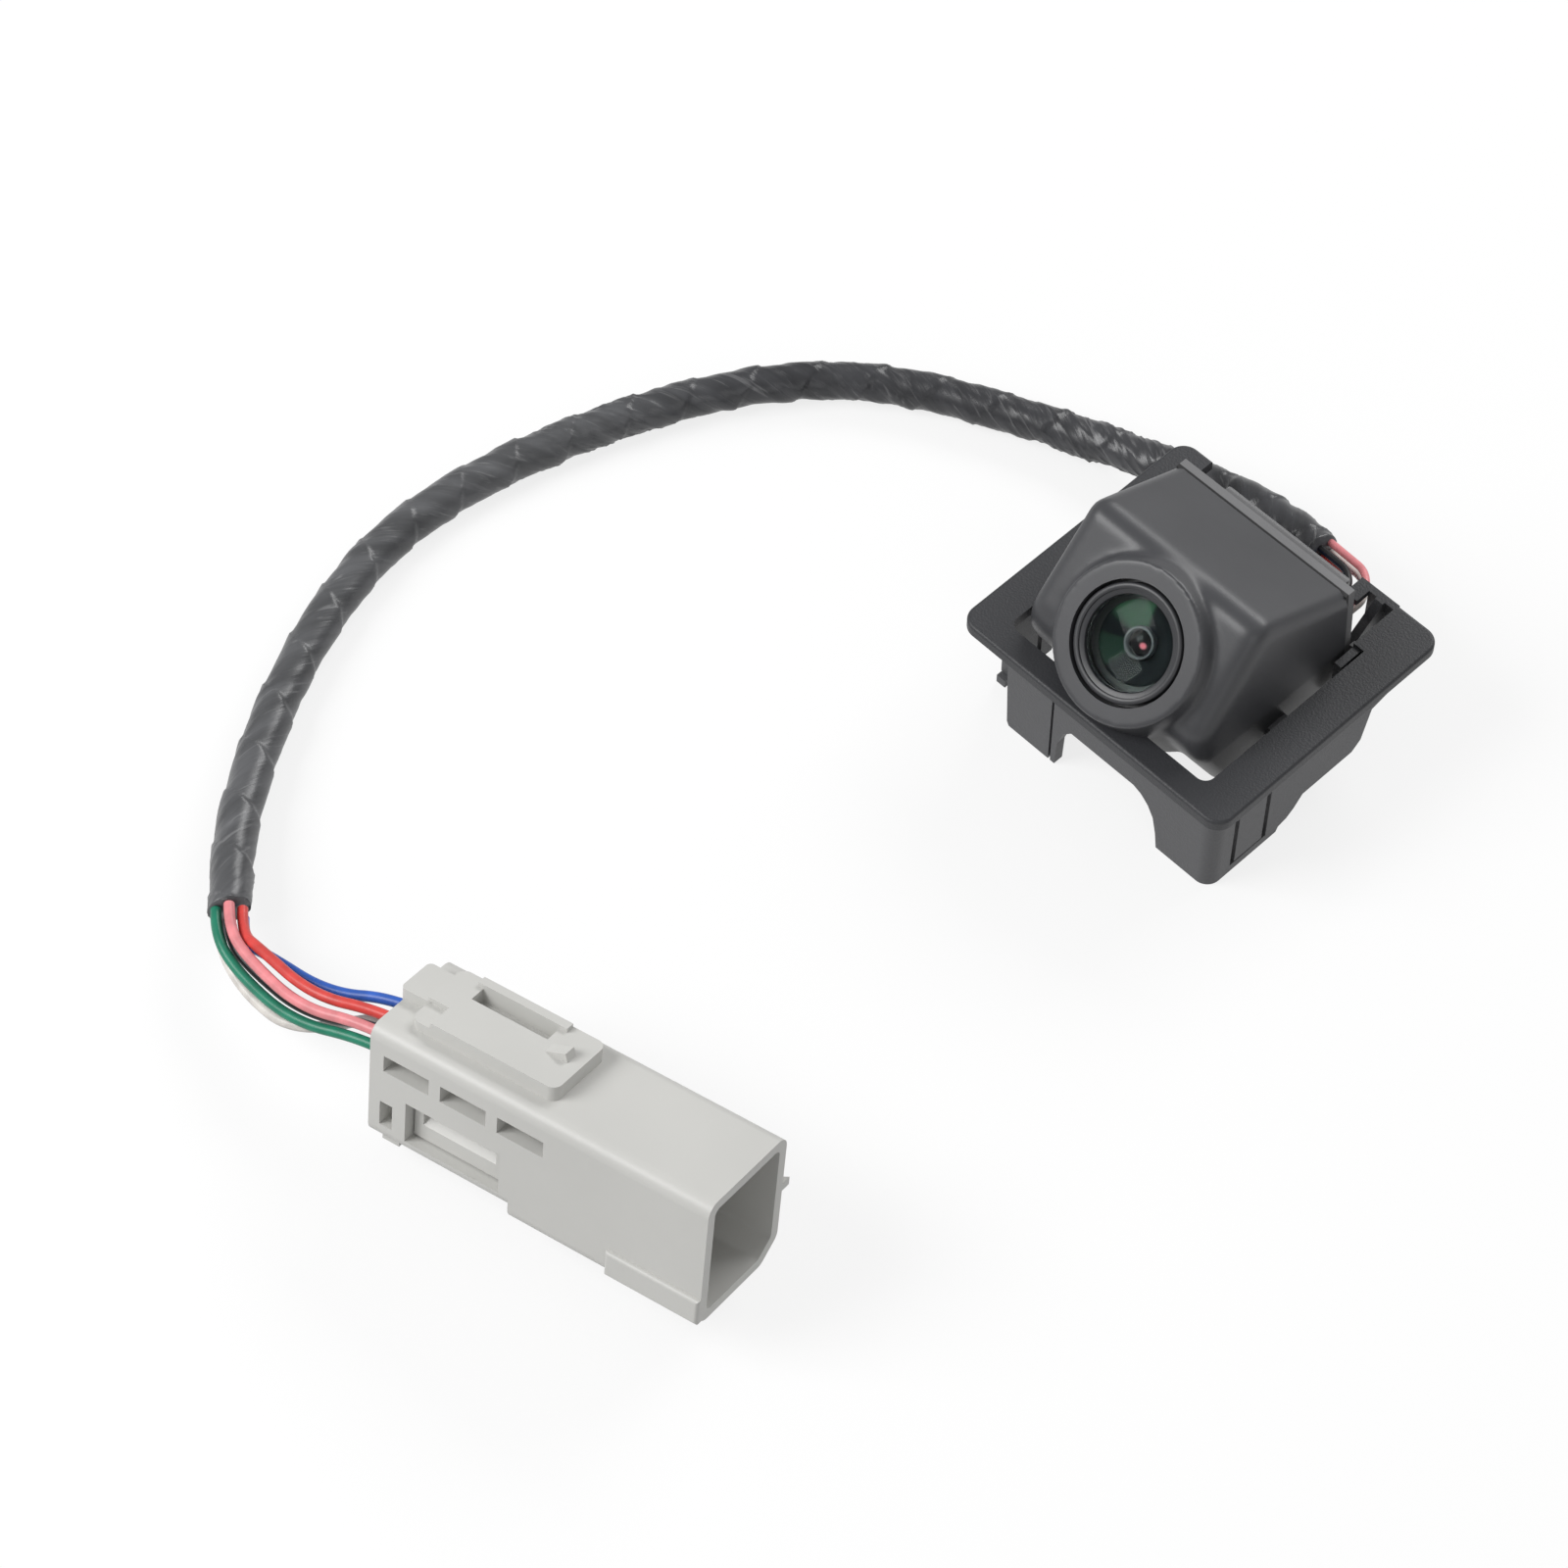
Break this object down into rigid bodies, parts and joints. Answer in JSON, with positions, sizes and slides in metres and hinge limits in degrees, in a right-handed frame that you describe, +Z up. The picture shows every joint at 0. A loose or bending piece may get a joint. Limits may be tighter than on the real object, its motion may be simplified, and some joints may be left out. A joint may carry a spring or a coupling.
{
  "type": "backup camera kit",
  "caption": "Flush-mount backup camera in a U-shaped bezel, with a short taped harness and a six-way keyed connector.",
  "frame": {"origin": "centre of the bezel's footprint, on the floor under its skirt", "axes": "+Z up out of the bezel's opening, +Y towards the open back of the bezel where the leads leave, +X to the right as seen from the lens side"},
  "size_m": [0.126, 0.1563, 0.0373],
  "materials": {
    "bezel_black": "fine matt texture",
    "hood_black": "satin",
    "seal_rubber": "matt",
    "cover_grey": "satin",
    "screw_steel": "plain",
    "sheath_black": "satin",
    "plug_white": "satin",
    "ring_black": "satin",
    "barrel_black": "matt",
    "lens_glass": "polished, green-coated",
    "filter_glass": "polished",
    "sensor_die": "gloss",
    "board_green": "gloss",
    "harness_tape": "wrinkled, glossy",
    "plug_grey": "satin",
    "plug_dark": "matt",
    "pin_tin": "plain",
    "wire_pink": "satin",
    "wire_red": "satin",
    "wire_blue": "satin",
    "wire_green": "satin",
    "wire_black": "satin",
    "wire_white": "satin"
  },
  "bodies": {
    "kit": {"bezel_frame": "bezel_black", "camera_hood": "hood_black", "cover_gasket": "seal_rubber", "rear_cover": "cover_grey", "cover_screws": "screw_steel", "hood_screws": "screw_steel", "cable_grommet": "seal_rubber", "lead_stubs": "sheath_black", "lead_plug": "plug_white", "lens_retainer": "ring_black", "lens_seal": "seal_rubber", "lens_barrel": "barrel_black", "front_lens": "lens_glass", "lens_tube": "barrel_black", "second_lens": "lens_glass", "aperture_stop": "barrel_black", "rear_lens": "lens_glass", "rear_tube": "barrel_black", "infrared_filter": "filter_glass", "sensor_mount": "barrel_black", "image_sensor": "sensor_die", "sensor_board": "board_green", "board_header": "plug_white", "power_board": "board_green", "board_screws": "screw_steel", "harness_sleeve": "harness_tape", "connector_housing": "plug_grey", "rear_seal": "plug_dark", "terminal_pins": "pin_tin", "wire_pink": "wire_pink", "lead_pink": "wire_pink", "wire_red": "wire_red", "lead_red": "wire_red", "wire_blue": "wire_blue", "lead_blue": "wire_blue", "wire_green": "wire_green", "lead_green": "wire_green", "wire_black": "wire_black", "lead_black": "wire_black", "wire_white": "wire_white", "lead_white": "wire_white"},
    "finger_right": {"snap_finger_right": "bezel_black"},
    "finger_left": {"snap_finger_left": "bezel_black"},
    "lock": {"terminal_lock": "plug_grey"}
  },
  "joints": [
    {"name": "finger_right_flex", "type": "hinge", "parent": "kit", "child": "finger_right", "pos_m": [0.0212, -0.0124, 0.0018], "axis": [0, -1, 0], "range_deg": [0, 6], "stiffness_Nm_per_rad": 0.05},
    {"name": "finger_left_flex", "type": "hinge", "parent": "kit", "child": "finger_left", "pos_m": [-0.0212, -0.0124, 0.0018], "axis": [0, 1, 0], "range_deg": [0, 6], "stiffness_Nm_per_rad": 0.05},
    {"name": "lock_slide", "type": "slide", "parent": "kit", "child": "lock", "axis": [0.1699, -0.9446, 0.2809], "range_m": [0, 0.0016]}
  ]
}
